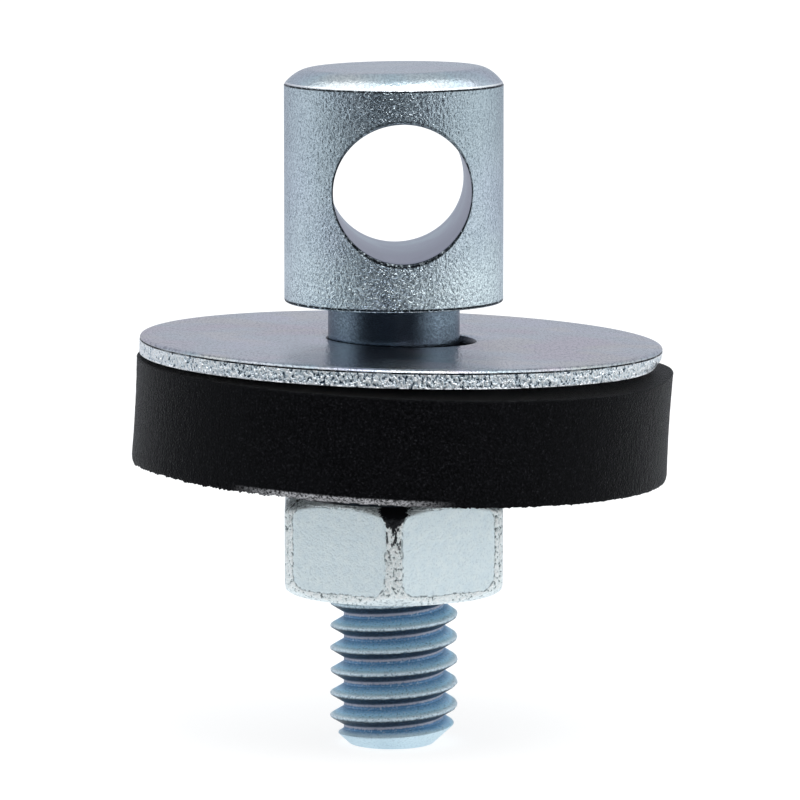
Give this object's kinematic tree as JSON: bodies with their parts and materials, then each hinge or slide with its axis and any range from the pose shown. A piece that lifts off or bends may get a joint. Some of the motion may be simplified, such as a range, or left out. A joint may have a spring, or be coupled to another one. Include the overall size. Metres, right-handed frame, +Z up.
{
  "type": "magnet fishing eye bolt",
  "caption": "Drilled-head eye bolt with a neck and threaded stud, carrying a loose flat washer, a thick rubber washer and a hex nut.",
  "frame": {"origin": "centre of the flat lower end of the stud, on the bolt's axis", "axes": "+Z up along the bolt's axis from the stud's end to the head; the cross hole in the head runs along Y; +X to the right when the hole is looked through from the front"},
  "size_m": [0.0333, 0.033, 0.0419],
  "materials": {
    "bolt_zinc": "bright zinc plating over turned steel, finely grained, slightly blue",
    "washer_zinc": "bright zinc plating on rolled sheet, smooth faces with a faint violet tint, rough sheared rim",
    "rubber": "matte black rubber with a fine grain",
    "nut_zinc": "pale zinc plating over forged steel, faintly mottled"
  },
  "bodies": {
    "bolt": {"eye_bolt": "bolt_zinc"},
    "rubber_washer": {"rubber_washer": "rubber"},
    "flat_washer": {"flat_washer": "washer_zinc"},
    "nut": {"hex_nut": "nut_zinc"}
  },
  "joints": [
    {"name": "stack_slide", "type": "slide", "parent": "bolt", "child": "rubber_washer", "axis": [0, 0, 1], "range_m": [-0.0094, 0.00205]},
    {"name": "nut_turn", "type": "hinge", "parent": "rubber_washer", "child": "nut", "pos_m": [0, 0, 0.01263], "axis": [0, 0, 1], "range_deg": [-2394, 520]},
    {"name": "washer_spin", "type": "hinge", "parent": "rubber_washer", "child": "flat_washer", "pos_m": [0.00046, -0.00002, 0.02514], "axis": [0.0254, 0.0072, 0.9997], "continuous": true}
  ],
  "couplings": [
    {"joint": "stack_slide", "follows": "nut_turn", "m_per_rad": 0.00022459}
  ]
}
